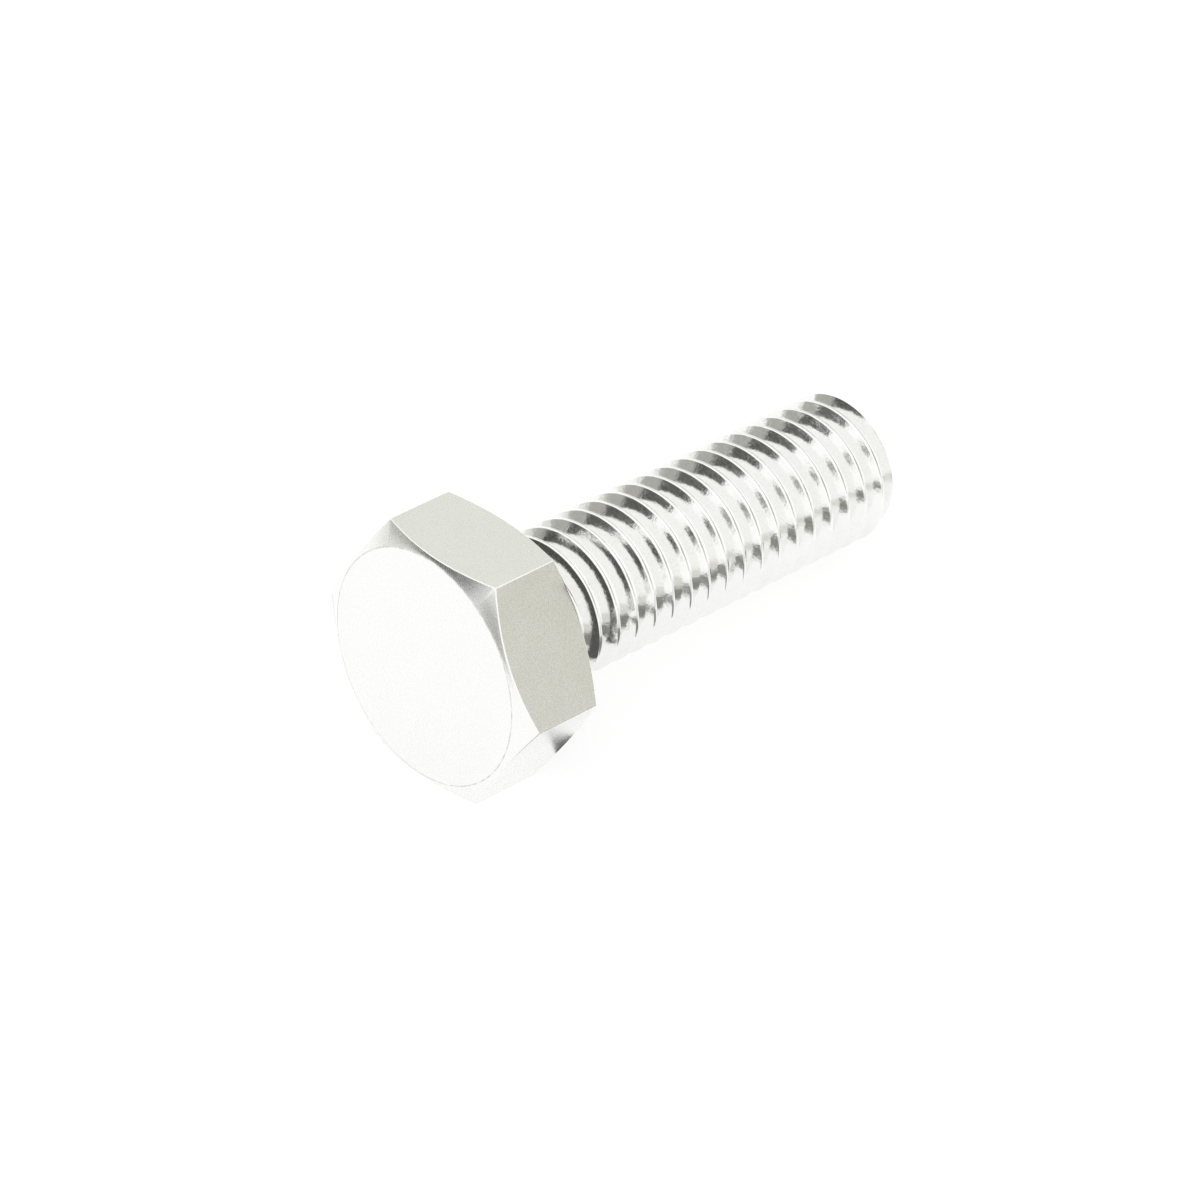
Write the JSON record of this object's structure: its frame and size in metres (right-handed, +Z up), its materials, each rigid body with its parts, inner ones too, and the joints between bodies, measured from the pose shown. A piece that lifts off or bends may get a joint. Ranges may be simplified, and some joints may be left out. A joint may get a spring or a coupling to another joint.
{
  "type": "hex bolt",
  "caption": "Hexagon head bolt with a double-chamfered head, a thread that runs right up to the head and a chamfered point.",
  "frame": {"origin": "centre of the bearing face under the head, on the bolt's axis", "axes": "+Y along the bolt from the head to the point; +Z up, square to one flat of the hexagon; +X towards a corner of the hexagon"},
  "size_m": [0.0148, 0.0299, 0.0128],
  "materials": {
    "head_steel": "satin, fine random grain, bright plated",
    "thread_steel": "rolled bright, nearly mirror-like"
  },
  "bodies": {
    "bolt": {"hex_head": "head_steel", "neck": "thread_steel", "shank_core": "thread_steel", "thread": "thread_steel", "point": "thread_steel"}
  },
  "joints": []
}
